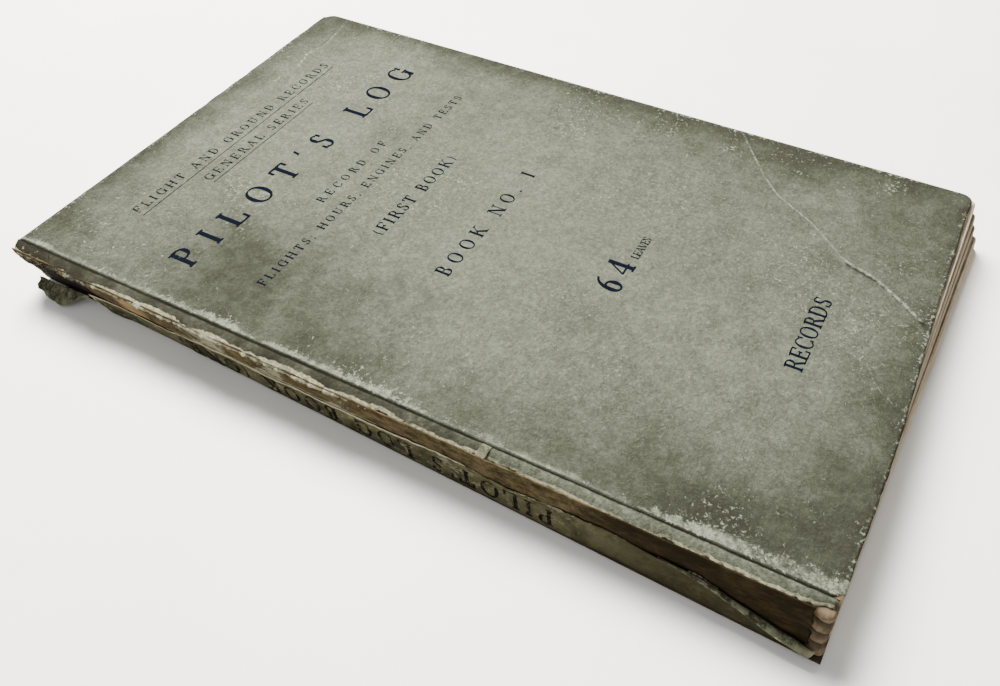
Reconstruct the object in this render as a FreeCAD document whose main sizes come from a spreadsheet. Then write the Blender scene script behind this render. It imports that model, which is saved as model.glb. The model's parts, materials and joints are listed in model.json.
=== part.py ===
"""A small sewn book in thin card covers, lying on its back cover.

+X runs from the spine to the fore-edge, +Y from the tail to the head and +Z up.
The origin is the middle of the footprint, on the surface that the book lies on.

The book has leaned and twisted with age.  Every layer is a flat rectangle of its own,
and each one lies a little turned and shifted from the one above it, so that the back
cover ends turned by the whole twist.  A place is given in its layer's own frame: x from
the spine line, y from the tail, z from the table, and lay() turns that into a Placement.
"""
import FreeCAD, Part
import math
import os
import Sketcher

SIZES = [
    ("cover_height", 216.0),      # tail to head
    ("cover_width", 138.0),       # hinge groove to fore-edge
    ("cover_board", 0.6),         # thin card inside each cover
    ("cover_paper", 0.15),        # grey paper over the card
    ("endpaper", 0.12),           # pastedowns and free endpapers
    ("gathering", 3.1),           # one folded section of sixteen leaves
    ("leaf_gap", 0.08),           # air between neighbouring layers
    ("twist", 2.05),              # turn of the back cover under the front cover, degrees
    ("lean", 2.45),               # shift of the back cover towards the spine
    ("drift", 1.3),               # shift of the back cover towards the tail
    ("corner", 3.0),              # worn fore-edge corners of the covers
    ("hinge_line", 1.85),         # groove that a cover folds along
    ("hinge_gap", 0.05),          # clearance each side of that groove
    ("fold_line", 0.6),           # how far the folds stand out past the spine line
    ("spine_gap", 0.15),          # clearance between the folds and the tapes
    ("skin_gap", 0.03),           # glue line between two layers on the spine
    ("tape", 0.25),               # thickness of a sewing tape
    ("tape_width", 10.0),
    ("tape_pitch", 73.0),
    ("thread", 0.2),              # diameter of the sewing thread
    ("mull", 0.15),               # open-weave cloth glued over the tapes
    ("lining", 0.35),             # brown paper lining over the cloth
    ("spine_paper", 0.15),        # what is left of the printed spine
    ("strip_width", 3.6),         # glued strip between the groove and the spine
    ("strip_drop", 1.3),          # how far the strip's outer edge has sunk
    ("strip_slope", 0.75),        # how far its face slopes down to that edge
    ("paper_top", 10.3),          # torn upper edge of the spine paper
    ("paper_tail", 3.0),          # bare folds at the tail, past the spine paper
    ("lining_tail", 1.2),
    ("flap_length", 14.0),
    ("flap_width", 6.4),
    ("flap_tail", 198.0),         # where the torn flap starts
    ("flap_height", 5.6),         # height of the line it hangs from
    ("flap_slant", 36.0),         # its angle out from the spine, degrees
]

TAPES = ("tail", "middle", "head")
GATHERINGS = 4


def size(name):
    """The spreadsheet cell that holds a driving size, as an expression."""
    return "Sizes." + name


COVER = f"({size('cover_paper')} + {size('cover_board')} + {size('endpaper')})"
ENDS = f"({COVER} + {size('endpaper')} + 2 * {size('leaf_gap')})"
PITCH = f"({size('gathering')} + {size('leaf_gap')})"
THICKNESS = f"(2 * {ENDS} + {GATHERINGS} * {PITCH} - {size('leaf_gap')})"
FORE_EDGE = f"({size('hinge_line')} + {size('hinge_gap')} + {size('cover_width')})"
TAPE_FACE = f"({size('fold_line')} + {size('spine_gap')} + {size('tape')})"
THREAD_FACE = f"({TAPE_FACE} + {size('skin_gap')} + {size('thread')})"
MULL_FACE = f"({THREAD_FACE} + {size('skin_gap')} + {size('mull')})"
LINING_FACE = f"({MULL_FACE} + {size('skin_gap')} + {size('lining')})"
SPINE_FACE = f"({LINING_FACE} + {size('skin_gap')} + {size('spine_paper')})"
LEFT = f"(-{SPINE_FACE} - {size('lean')})"
RIGHT = f"({FORE_EDGE} - {size('lean')} + {size('cover_height')} * sin({size('twist')}))"
TAIL = f"(-{size('drift')} - {FORE_EDGE} * sin({size('twist')}))"
CENTRE_X = f"(({LEFT} + {RIGHT}) / 2)"
CENTRE_Y = f"(({TAIL} + {size('cover_height')}) / 2)"


def lay(height):
    """Placement expression of the layer frame at a height above the table."""
    depth = f"(1 - ({height}) / {THICKNESS})"
    return (
        f"placement(vector(-{size('lean')} * {depth} - {CENTRE_X}; "
        f"-{size('drift')} * {depth} - {CENTRE_Y}; {height}); "
        f"rotation(vector(0; 0; 1); -{size('twist')} * {depth}))"
    )


def rise(height):
    """Placement expression of a move straight up."""
    return f"placement(vector(0; 0; {height}); rotation(vector(0; 0; 1); 0))"


def gathering_floor(number):
    """Height of the underside of a gathering, the first being next to the front cover."""
    return f"({ENDS} + {GATHERINGS - number} * {PITCH})"


def make_sizes(document):
    """The spreadsheet with every driving size."""
    sheet = document.addObject("Spreadsheet::Sheet", "Sizes")
    for row, (name, value) in enumerate(SIZES, start=1):
        sheet.set(f"A{row}", name)
        sheet.set(f"B{row}", str(value))
        sheet.setAlias(f"B{row}", name)
    document.recompute()


def new_body(document, name):
    body = document.addObject("PartDesign::Body", name)
    body.Label = name
    return body


def new_sketch(body, name, role):
    """An empty sketch on one of the body's own origin planes."""
    planes = [plane for plane in body.Origin.OriginFeatures if plane.Role == role]
    sketch = body.newObject("Sketcher::SketchObject", name)
    sketch.AttachmentSupport = (planes[0], [""])
    sketch.MapMode = "FlatFace"
    return sketch


def worked_out(item, expression):
    """The number that an expression comes to."""
    return float(item.evalExpression(expression))


def spot(sketch, corner):
    """A corner, given as two expressions, as a point of the sketch."""
    across, along = corner
    return FreeCAD.Vector(worked_out(sketch, across), worked_out(sketch, along), 0)


def bind_point(sketch, geometry, end, label, corner):
    """Hold one end of a line at two expressions, measured from the sketch's origin."""
    for kind, suffix, expression in zip(("DistanceX", "DistanceY"), ("_x", "_y"), corner):
        start = worked_out(sketch, expression)
        index = sketch.addConstraint(Sketcher.Constraint(kind, -1, 1, geometry, end, start))
        sketch.renameConstraint(index, label + suffix)
        sketch.setExpression(f"Constraints.{label}{suffix}", expression)


def outline(sketch, corners):
    """A closed polygon whose corners are pairs of expressions."""
    count = len(corners)
    for index in range(count):
        start = spot(sketch, corners[index])
        end = spot(sketch, corners[(index + 1) % count])
        sketch.addGeometry(Part.LineSegment(start, end))
    for index in range(count):
        following = (index + 1) % count
        sketch.addConstraint(Sketcher.Constraint("Coincident", index, 2, following, 1))
    for index, corner in enumerate(corners):
        bind_point(sketch, index, 1, f"corner{index}", corner)


def pad(body, sketch, length, backwards=False):
    """Pad a sketch along its normal, or against it."""
    feature = body.newObject("PartDesign::Pad", body.Name + "_pad")
    feature.Profile = sketch
    feature.Reversed = backwards
    feature.setExpression("Length", length)
    return feature


def rectangle(near, far, tail, head):
    """Corners of a rectangle in x and y."""
    return [(near, tail), (far, tail), (far, head), (near, head)]


def round_fore_corners(document, body, feature, radius):
    """Round the two upright edges at the fore-edge."""
    document.recompute()
    reach = feature.Shape.BoundBox.XMax
    edges = [
        f"Edge{index}" for index, edge in enumerate(feature.Shape.Edges, start=1)
        if edge.BoundBox.XMin > reach - 0.001 and edge.BoundBox.YLength < 0.001
    ]
    fillet = body.newObject("PartDesign::Fillet", body.Name + "_corners")
    fillet.Base = (feature, edges)
    fillet.setExpression("Radius", radius)


def flat_sheet(document, name, near, thickness, height, plane=None):
    """A sheet of paper or card from x = near to the fore-edge, its underside at height.

    A layer of a cover has rounded corners and turns with the plane that its cover folds in.
    """
    body = new_body(document, name)
    sketch = new_sketch(body, name + "_outline", "XY_Plane")
    outline(sketch, rectangle(near, FORE_EDGE, "0", size("cover_height")))
    feature = pad(body, sketch, thickness)
    if plane is None:
        body.setExpression("Placement", lay(height))
        return
    round_fore_corners(document, body, feature, size("corner"))
    body.setExpression("Placement", f"{lay(plane)} * {rise(f'{height} - {plane}')}")


def cover(document, plane, layers):
    """One cover: layers give each sheet's name, the size of its thickness and its underside."""
    near = f"({size('hinge_line')} + {size('hinge_gap')})"
    for name, thickness, height in layers:
        flat_sheet(document, name, near, size(thickness), height, plane)


def back_cover(document):
    board = size("cover_paper")
    cover(document, "0", (
        ("back_cover_paper", "cover_paper", "0"),
        ("back_cover_board", "cover_board", board),
        ("back_pastedown", "endpaper", f"({board} + {size('cover_board')})"),
    ))


def front_cover(document):
    paper = f"({THICKNESS} - {size('cover_paper')})"
    cover(document, THICKNESS, (
        ("front_cover_paper", "cover_paper", paper),
        ("front_cover_board", "cover_board", f"({paper} - {size('cover_board')})"),
        ("front_pastedown", "endpaper", f"({THICKNESS} - {COVER})"),
    ))


def free_endpapers(document):
    """The first and last leaf, each hinged just inside its cover's groove."""
    near = f"({size('hinge_line')} + 6 * {size('hinge_gap')})"
    back = f"({COVER} + {size('leaf_gap')})"
    flat_sheet(document, "back_free_endpaper", near, size("endpaper"), back)
    front = f"({THICKNESS} - {COVER} - {size('leaf_gap')} - {size('endpaper')})"
    flat_sheet(document, "front_free_endpaper", near, size("endpaper"), front)


def gathering(document, number):
    """A folded section: a half-round fold at the spine and flat leaves to the fore-edge."""
    name = f"gathering_{number}"
    body = new_body(document, name)
    sketch = new_sketch(body, name + "_outline", "XZ_Plane")
    radius = f"({size('gathering')} / 2)"
    centre = f"({radius} - {size('fold_line')})"
    top = size("gathering")
    corners = {
        "lower_fold": (centre, "0"),
        "lower_edge": (FORE_EDGE, "0"),
        "upper_edge": (FORE_EDGE, top),
        "upper_fold": (centre, top),
    }
    fold = Part.Circle(spot(sketch, (centre, radius)), FreeCAD.Vector(0, 0, 1), worked_out(sketch, radius))
    quarter = math.pi / 2
    sketch.addGeometry(Part.ArcOfCircle(fold, quarter, 3 * quarter))
    places = [spot(sketch, corner) for corner in corners.values()]
    for start, end in zip(places, places[1:]):
        sketch.addGeometry(Part.LineSegment(start, end))
    for join in ((0, 2, 1, 1), (1, 2, 2, 1), (2, 2, 3, 1), (3, 2, 0, 1)):
        sketch.addConstraint(Sketcher.Constraint("Coincident", *join))
    ends = ((1, 1), (2, 1), (3, 1), (3, 2))
    for (line, end), (label, corner) in zip(ends, corners.items()):
        bind_point(sketch, line, end, label, corner)
    across = worked_out(sketch, centre)
    index = sketch.addConstraint(Sketcher.Constraint("DistanceX", -1, 1, 0, 3, across))
    sketch.renameConstraint(index, "fold_centre")
    sketch.setExpression("Constraints.fold_centre", centre)
    pad(body, sketch, size("cover_height"), backwards=True)
    middle_height = f"({gathering_floor(number)} + {radius})"
    body.setExpression("Placement", f"{lay(middle_height)} * {rise('-' + radius)}")


def upright_strip(document, name, outer, thickness, tail, head, low, high):
    """A thin strip standing on the spine, from low to high, that follows the twist."""
    body = new_body(document, name)
    sketches = []
    for end, height in (("low", low), ("high", high)):
        sketch = new_sketch(body, f"{name}_{end}", "XY_Plane")
        outline(sketch, rectangle(f"-{outer}", f"({thickness} - {outer})", tail, head))
        sketch.setExpression("AttachmentOffset", lay(height))
        sketches.append(sketch)
    loft = body.newObject("PartDesign::AdditiveLoft", name + "_loft")
    loft.Profile = sketches[0]
    loft.Sections = [sketches[1]]
    loft.Ruled = True


def sewing_tapes(document):
    """Three linen tapes that the gatherings are sewn to."""
    low = f"({gathering_floor(GATHERINGS)} + {size('gathering')} / 4)"
    high = f"({gathering_floor(1)} + 3 * {size('gathering')} / 4)"
    for step, where in enumerate(TAPES, start=-1):
        tail = tape_tail(step)
        head = f"({tail} + {size('tape_width')})"
        name = f"{where}_sewing_tape"
        upright_strip(document, name, TAPE_FACE, size("tape"), tail, head, low, high)


def tape_tail(step):
    """Tailward edge of a tape, counted in pitches from the middle one."""
    middle = f"({size('cover_height')} - {size('tape_width')}) / 2"
    return f"({middle} + {step} * {size('tape_pitch')})"


def sewing_threads(document, name, numbers):
    """Stitches that hold some gatherings to the tapes, one across each tape."""
    stitches = []
    overlap = size("thread")
    for number in numbers:
        height = f"({gathering_floor(number)} + {size('gathering')} / 2)"
        for step in range(-1, 2):
            stitch = document.addObject("Part::Cylinder", f"{name}_{number}_{step + 2}")
            stitch.setExpression("Radius", f"{size('thread')} / 2")
            stitch.setExpression("Height", f"{size('tape_width')} + 2 * {overlap}")
            across = f"({size('thread')} / 2 - {THREAD_FACE})"
            along = f"({tape_tail(step)} - {overlap})"
            place = f"placement(vector({across}; {along}; 0); rotation(vector(1; 0; 0); -90))"
            stitch.setExpression("Placement", f"{lay(height)} * {place}")
            stitches.append(stitch)
    group = document.addObject("Part::Compound", name)
    group.Label = name
    group.Links = stitches


def mull_cloth(document):
    """Open-weave cloth glued over the tapes between the two hinge strips."""
    low = f"({size('strip_drop')} + {size('skin_gap')})"
    high = f"({THICKNESS} - {low})"
    tail = f"(2 * {size('lining_tail')})"
    head = f"({size('cover_height')} - {tail})"
    upright_strip(document, "mull_cloth", MULL_FACE, size("mull"), tail, head, low, high)


def spine_linings(document):
    """Brown paper lining, cracked in two along the middle of the spine."""
    tail = size("lining_tail")
    head = f"({size('cover_height')} - {tail})"
    middle = f"({THICKNESS} / 2)"
    edge = f"({size('strip_drop')} + {size('skin_gap')})"
    halves = (
        ("lower_spine_lining", edge, f"({middle} - {size('skin_gap')})"),
        ("upper_spine_lining", f"({middle} + {size('skin_gap')})", f"({THICKNESS} - {edge})"),
    )
    for name, low, high in halves:
        upright_strip(document, name, LINING_FACE, size("lining"), tail, head, low, high)


def spine_paper(document):
    """The rest of the printed spine, torn off above and at the tail."""
    low = f"({size('strip_drop')} + {size('skin_gap')})"
    head = f"({size('cover_height')} - {size('lining_tail')})"
    upright_strip(document, "spine_paper", SPINE_FACE, size("spine_paper"),
                  size("paper_tail"), head, low, size("paper_top"))


def hinge_strip(document, side, height, up):
    """Strip glued along the spine: it slopes from the groove to a sunk outer edge.

    up is 1 where the strip rises from the table's side and -1 where it hangs from the top.
    """
    name = f"{side}_hinge_strip"
    body = new_body(document, name)
    sketch = new_sketch(body, name + "_outline", "XZ_Plane")
    inner = f"({size('hinge_line')} - {size('hinge_gap')})"
    outer = f"-{SPINE_FACE}"
    inset = f"({size('lining')} - {SPINE_FACE})"
    root = f"({COVER} - {size('leaf_gap')} - {size('endpaper')})"
    profile = [
        (inner, f"{up} * 2 * {size('hinge_gap')}"),
        (inner, f"{up} * {root}"),
        (f"({inner} - {size('strip_width')} / 3)", f"{up} * {COVER}"),
        (inset, f"{up} * {size('strip_drop')}"),
        (outer, f"{up} * {size('strip_drop')}"),
        (f"({inner} - {size('strip_width')})", f"{up} * {size('strip_slope')}"),
    ]
    outline(sketch, profile)
    pad(body, sketch, size("cover_height"), backwards=True)
    body.setExpression("Placement", lay(height))


def torn_spine_flap(document):
    """A torn tongue of spine paper that hangs out from the spine near the head."""
    name = "torn_spine_flap"
    body = new_body(document, name)
    sketch = new_sketch(body, name + "_outline", "XY_Plane")
    outline(sketch, rectangle("0", size("flap_width"), "0", size("flap_length")))
    pad(body, sketch, size("spine_paper"))
    edge = f"(-{SPINE_FACE} - {size('spine_gap')})"
    root = f"vector({edge}; {size('flap_tail')}; 0)"
    place = f"placement({root}; rotation(vector(0; 1; 0); 90 + {size('flap_slant')}))"
    body.setExpression("Placement", f"{lay(size('flap_height'))} * {place}")


def build(document):
    make_sizes(document)
    back_cover(document)
    front_cover(document)
    free_endpapers(document)
    for number in range(1, GATHERINGS + 1):
        gathering(document, number)
    sewing_tapes(document)
    sewing_threads(document, "upper_sewing_threads", (1, 2))
    sewing_threads(document, "lower_sewing_threads", (3, 4))
    mull_cloth(document)
    spine_linings(document)
    spine_paper(document)
    hinge_strip(document, "back", "0", 1)
    hinge_strip(document, "front", THICKNESS, -1)
    torn_spine_flap(document)
    document.recompute()


def pieces(document):
    """The sub-parts, which are the bodies and the groups of stitches."""
    return [item for item in document.Objects
            if item.TypeId in ("PartDesign::Body", "Part::Compound")]


def check(document):
    """Stop if any object failed, or if a sub-part has no valid solid."""
    for item in document.Objects:
        if "Invalid" in item.State or "Error" in item.State:
            raise RuntimeError(f"{item.Label} failed: {item.State}")
    for piece in pieces(document):
        shape = piece.Shape
        if shape.isNull() or not shape.isValid() or not shape.Solids:
            raise RuntimeError(f"{piece.Label} has no valid solid")


def write(document):
    os.makedirs("parts", exist_ok=True)
    for piece in pieces(document):
        piece.Shape.exportStep(f"parts/{piece.Label}.step")
        print(piece.Label, round(piece.Shape.Volume, 3), piece.Shape.BoundBox)


book = FreeCAD.newDocument("book")
build(book)
check(book)
write(book)
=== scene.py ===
"""The looks of a worn sewn book in thin grey-green covers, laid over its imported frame.

Lengths are worked out in millimetres and turned into metres by place().  A place on the
book is given in the frame of its own layer: across from the fold groove towards the
fore-edge, along from the tail to the head, and height above the table.
"""
import json
import math

import bpy
import numpy as np
from mathutils import Euler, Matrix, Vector


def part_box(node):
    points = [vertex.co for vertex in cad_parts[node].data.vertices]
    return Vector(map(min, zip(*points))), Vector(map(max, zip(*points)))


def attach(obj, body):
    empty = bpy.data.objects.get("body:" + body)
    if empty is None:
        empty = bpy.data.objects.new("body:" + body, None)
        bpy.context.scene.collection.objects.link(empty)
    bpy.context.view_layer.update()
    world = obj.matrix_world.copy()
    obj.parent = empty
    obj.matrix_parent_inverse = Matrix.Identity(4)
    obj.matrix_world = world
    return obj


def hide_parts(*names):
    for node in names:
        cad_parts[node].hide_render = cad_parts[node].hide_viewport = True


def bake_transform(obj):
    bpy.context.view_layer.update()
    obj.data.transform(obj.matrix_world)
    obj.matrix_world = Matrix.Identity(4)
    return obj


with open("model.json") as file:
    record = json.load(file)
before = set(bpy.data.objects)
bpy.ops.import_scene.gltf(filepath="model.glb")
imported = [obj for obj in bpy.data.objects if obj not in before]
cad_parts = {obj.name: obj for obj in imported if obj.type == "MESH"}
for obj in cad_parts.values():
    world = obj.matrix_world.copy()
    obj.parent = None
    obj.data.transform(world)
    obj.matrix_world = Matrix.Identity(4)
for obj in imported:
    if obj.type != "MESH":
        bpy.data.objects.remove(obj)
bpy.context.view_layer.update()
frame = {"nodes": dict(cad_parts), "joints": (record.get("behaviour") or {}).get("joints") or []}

MM = 0.001
JOINTS = {joint["name"]: joint for joint in frame["joints"]}
GROOVE_LOW = np.array(JOINTS["back_cover_hinge"]["pos_m"]) / MM
GROOVE_HIGH = np.array(JOINTS["front_cover_hinge"]["pos_m"]) / MM
OPENING = np.array(JOINTS["book_opening"]["pos_m"]) / MM


def joint_turn(name):
    """Turn of a hinge about the upright, in radians, from its axis."""
    axis = JOINTS[name]["axis"]
    return math.atan2(axis[0], -axis[1])


TURN_LOW = joint_turn("back_cover_hinge")
THICKNESS = GROOVE_HIGH[2]
MIDDLE = OPENING[2]
COVER_LOW, COVER_HIGH = (np.array(corner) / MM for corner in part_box("front_cover_paper"))
HEIGHT = COVER_HIGH[1] - COVER_LOW[1]
WIDTH = COVER_HIGH[0] - GROOVE_HIGH[0]
PAPER = COVER_HIGH[2] - COVER_LOW[2]


def place(across, along, height, layer=None):
    """Frame points in metres of places on the book.

    The groove's foot is carried in a straight line from the back cover's hinge to the
    front cover's with the height, and the layer turns about it by an even share of the
    whole twist; layer is the height that the turn is taken at where it isn't the point's.
    """
    across, along, height = np.broadcast_arrays(
        np.asarray(across, float), np.asarray(along, float), np.asarray(height, float))
    level = height if layer is None else layer
    share = level / THICKNESS
    turn = TURN_LOW * (1 - share)
    beside = along - HEIGHT / 2
    x = GROOVE_LOW[0] + (GROOVE_HIGH[0] - GROOVE_LOW[0]) * share
    y = GROOVE_LOW[1] + (GROOVE_HIGH[1] - GROOVE_LOW[1]) * share
    x = x + across * np.cos(turn) - beside * np.sin(turn)
    y = y + across * np.sin(turn) + beside * np.cos(turn)
    return np.stack([x, y, height], -1) * MM


def spine_depth():
    """How far the spine's outer face stands out from the groove, in millimetres."""
    share = MIDDLE / THICKNESS
    groove = GROOVE_LOW + (GROOVE_HIGH - GROOVE_LOW) * share
    turn = TURN_LOW * (1 - share)
    step = OPENING - groove
    return -(step[0] * math.cos(turn) + step[1] * math.sin(turn))


SPINE = spine_depth()


# ---- smooth random shapes ----

def lattice(seed, rows, columns):
    """Random values from -1 to 1 on a grid of points."""
    return np.random.default_rng(seed).uniform(-1, 1, (rows, columns))


def undulation(first, second, step, seed):
    """Smooth random surface: lattice values step apart, eased between by 3t^2 - 2t^3."""
    grid = lattice(seed, 64, 64)
    u = np.asarray(first, float) / step + 7.3
    v = np.asarray(second, float) / step + 11.7
    i = np.floor(u).astype(int)
    j = np.floor(v).astype(int)
    s = u - i
    t = v - j
    s = s * s * (3 - 2 * s)
    t = t * t * (3 - 2 * t)
    near = grid[i % 64, j % 64] * (1 - s) + grid[(i + 1) % 64, j % 64] * s
    far = grid[i % 64, (j + 1) % 64] * (1 - s) + grid[(i + 1) % 64, (j + 1) % 64] * s
    return near * (1 - t) + far * t


def ragged(distance, step, seed):
    """Torn line: three undulations along one line, each half as long and 0.6 as deep."""
    total = 0
    for octave in range(3):
        fine = step / 2 ** octave
        total = total + 0.6 ** octave * wander(distance, fine, seed + octave)
    return total


def ease(value, low, high):
    """0 before low, 1 after high, and 3t^2 - 2t^3 between them."""
    share = np.clip((value - low) / (high - low), 0, 1)
    return share * share * (3 - 2 * share)


def bell(distance, width):
    """1 at no distance, and exp(-(d/w)^2) away from it."""
    return np.exp(-(distance / width) ** 2)


def wander(distance, step, seed):
    """One undulation followed along a line."""
    return undulation(distance, 0 * distance, step, seed)


def unit_grid(rows, columns):
    """Two grids of shares from 0 to 1: down the rows, and along the columns."""
    return np.broadcast_arrays(np.linspace(0, 1, rows)[:, None], np.linspace(0, 1, columns)[None, :])


def line_distance(x, y, corners):
    """Least distance from each point to a line through corners."""
    least = np.full(np.shape(x), 1e9)
    for (x0, y0), (x1, y1) in zip(corners, corners[1:]):
        run = np.array([x1 - x0, y1 - y0])
        share = np.clip(((x - x0) * run[0] + (y - y0) * run[1]) / (run @ run), 0, 1)
        least = np.minimum(least, np.hypot(x - x0 - share * run[0], y - y0 - share * run[1]))
    return least


# ---- meshes ----

def grid_faces(rows, columns, first=0):
    """Four-cornered faces of a point grid, facing along rows x columns."""
    index = np.arange(rows * columns).reshape(rows, columns) + first
    corners = (index[:-1, :-1], index[1:, :-1], index[1:, 1:], index[:-1, 1:])
    return np.stack(corners, -1).reshape(-1, 4)


def slab_faces(rows, columns, first=0):
    """Faces of a closed sheet: its outer grid, its inner grid turned over, and a rim."""
    count = rows * columns
    outer = grid_faces(rows, columns, first)
    inner = grid_faces(rows, columns, first + count)[:, ::-1]
    index = np.arange(count).reshape(rows, columns) + first
    walk = np.concatenate([index[0, :], index[1:, -1], index[-1, -2::-1], index[-2:0:-1, 0]])
    after = np.roll(walk, -1)
    rim = np.stack([walk, after, after + count, walk + count], -1)
    return np.concatenate([outer, inner, rim])


def new_piece(name, points, faces, material, marks=None, smooth=True):
    """A mesh object from points in metres, with its own point attributes."""
    mesh = bpy.data.meshes.new(name)
    mesh.from_pydata(points.reshape(-1, 3).tolist(), [], faces.tolist())
    mesh.polygons.foreach_set("use_smooth", np.full(len(mesh.polygons), smooth))
    for key, values in (marks or {}).items():
        attribute = mesh.attributes.new(key, "FLOAT", "POINT")
        attribute.data.foreach_set("value", np.asarray(values, np.float32).ravel())
    mesh.materials.append(material)
    mesh.update()
    piece = bpy.data.objects.new(name, mesh)
    bpy.context.scene.collection.objects.link(piece)
    return piece


def sheet_piece(name, outer, inner, material, marks=None, smooth=True):
    """A closed sheet between two point grids; marks are given on the outer grid."""
    rows, columns = outer.shape[:2]
    points = np.concatenate([outer.reshape(-1, 3), inner.reshape(-1, 3)])
    doubled = {key: np.tile(np.broadcast_to(value, (rows, columns)).ravel(), 2)
               for key, value in (marks or {}).items()}
    return new_piece(name, points, slab_faces(rows, columns), material, doubled, smooth)


def turned_sheet(name, outer, inner, material, marks=None):
    """A closed sheet whose columns are taken in the opposite order, so that it faces out."""
    shape = outer.shape[:2]
    turned = {key: np.broadcast_to(value, shape)[:, ::-1] for key, value in (marks or {}).items()}
    return sheet_piece(name, outer[:, ::-1], inner[:, ::-1], material, turned)


def joined_sheets(name, sheets, material, smooth=True):
    """One piece of many closed sheets, each a pair of outer and inner point grids."""
    points = []
    faces = []
    first = 0
    for outer, inner in sheets:
        rows, columns = outer.shape[:2]
        faces.append(slab_faces(rows, columns, first))
        points += [outer.reshape(-1, 3), inner.reshape(-1, 3)]
        first += 2 * rows * columns
    return new_piece(name, np.concatenate(points), np.concatenate(faces), material, None, smooth)


# ---- finishes ----

class Finish:
    """Nodes of one material; every pattern reads the piece's own place or attributes."""

    def __init__(self, name, roughness=0.9, specular=0.05):
        self.material = bpy.data.materials.new(name)
        self.material.use_nodes = True
        self.tree = self.material.node_tree
        self.shader = self.tree.nodes["Principled BSDF"]
        self.shader.inputs["Roughness"].default_value = roughness
        self.shader.inputs["Specular IOR Level"].default_value = specular
        self.coordinates = self.add("ShaderNodeTexCoord").outputs["Object"]

    def add(self, kind):
        return self.tree.nodes.new(kind)

    def join(self, source, socket):
        """Link a socket, or set a plain value."""
        if isinstance(source, bpy.types.NodeSocket):
            self.tree.links.new(source, socket)
        elif isinstance(source, (tuple, list)):
            socket.default_value = tuple(source) + (1.0,) * (4 - len(source))
        else:
            socket.default_value = source

    def stretched(self, scale):
        """Object coordinates scaled on each axis."""
        node = self.add("ShaderNodeMapping")
        node.inputs["Scale"].default_value = scale
        self.tree.links.new(self.coordinates, node.inputs["Vector"])
        return node.outputs["Vector"]

    def noise(self, scale, detail=5.0, roughness=0.6, vector=None, distortion=0.0):
        node = self.add("ShaderNodeTexNoise")
        node.inputs["Scale"].default_value = scale
        node.inputs["Detail"].default_value = detail
        node.inputs["Roughness"].default_value = roughness
        node.inputs["Distortion"].default_value = distortion
        self.tree.links.new(vector or self.coordinates, node.inputs["Vector"])
        return node.outputs["Fac"]

    def mark(self, name):
        node = self.add("ShaderNodeAttribute")
        node.attribute_name = name
        return node.outputs["Fac"]

    def between(self, value, low, high):
        """0 below low and 1 above high; low above high turns it over."""
        node = self.add("ShaderNodeMapRange")
        node.interpolation_type = "SMOOTHSTEP"
        self.join(value, node.inputs["Value"])
        start, end, first, last = (low, high, 0.0, 1.0) if low < high else (high, low, 1.0, 0.0)
        node.inputs["From Min"].default_value = start
        node.inputs["From Max"].default_value = end
        node.inputs["To Min"].default_value = first
        node.inputs["To Max"].default_value = last
        return node.outputs["Result"]

    def maths(self, operation, first, second=0.0):
        node = self.add("ShaderNodeMath")
        node.operation = operation
        self.join(first, node.inputs[0])
        self.join(second, node.inputs[1])
        return node.outputs[0]

    def scaled(self, value, factor):
        return self.maths("MULTIPLY", value, factor)

    def total(self, first, second, factor=None):
        """The sum of two values, the second times a factor where one is given."""
        return self.maths("ADD", first, second if factor is None else self.scaled(second, factor))

    def where(self, mark, pattern, low, high, factor=None):
        """0 to 1 as a mark of the piece plus a pattern goes from low to high."""
        return self.between(self.total(self.mark(mark), pattern, factor), low, high)

    def coat(self, colour, tint, share, factor=None):
        """A colour with a tint laid over it by a share, times a factor where one is given."""
        return self.mixed(share if factor is None else self.scaled(share, factor), colour, tint)

    def mixed(self, share, first, second):
        node = self.add("ShaderNodeMix")
        node.data_type = "RGBA"
        self.join(share, node.inputs["Factor"])
        self.join(first, node.inputs["A"])
        self.join(second, node.inputs["B"])
        return node.outputs["Result"]

    def done(self, colour, relief=None, depth=0.0001, strength=0.6):
        """Set the colour, and a bump of the given depth in metres."""
        self.join(colour, self.shader.inputs["Base Color"])
        if relief is not None:
            bump = self.add("ShaderNodeBump")
            bump.inputs["Strength"].default_value = strength
            bump.inputs["Distance"].default_value = depth
            self.tree.links.new(relief, bump.inputs["Height"])
            self.tree.links.new(bump.outputs["Normal"], self.shader.inputs["Normal"])
        return self.material


CLEAN_GREY = (0.106, 0.1165, 0.086)
DEEP_GREY = (0.036, 0.0375, 0.0265)
SOILED = (0.0165, 0.0155, 0.0105)
RUBBED = (0.235, 0.255, 0.190)
CREAM = (0.44, 0.365, 0.25)
CREAM_PALE = (0.64, 0.57, 0.43)
TONED = (0.085, 0.058, 0.034)
LINING_BROWN = (0.0115, 0.0084, 0.0036)
LINING_STREAK = (0.036, 0.0265, 0.0125)
LINING_OCHRE = (0.082, 0.063, 0.032)
LINING_TAN = (0.165, 0.112, 0.055)
SPINE_OLIVE = (0.066, 0.0605, 0.033)
SPINE_DARK = (0.024, 0.0235, 0.0135)
SPINE_PALE = (0.130, 0.128, 0.080)
PAPER_CREAM = (0.30, 0.285, 0.190)
BOARD_EDGE = (0.055, 0.039, 0.022)
FOLD_TAN = (0.120, 0.094, 0.062)
LIT_PEELED_OLIVE = (0.118, 0.120, 0.078)
INK = (0.0030, 0.0038, 0.0075)
BROWNED_INK = (0.0068, 0.0060, 0.0044)
SHOWING_THROUGH = (0.085, 0.090, 0.060)
FURROW_SHADE = (0.010, 0.0098, 0.0068)
STRIP_GREY = (0.074, 0.080, 0.057)
STRIP_DEEP = (0.030, 0.030, 0.021)
GROOVE_SHADE_AND_CRACKS = (0.010, 0.009, 0.005)
GAP_SHADE_DARK = (0.004, 0.003, 0.002)
SPINE_STAIN = (0.022, 0.016, 0.008)
SPINE_DARKER = (0.027, 0.0243, 0.0130)

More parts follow.
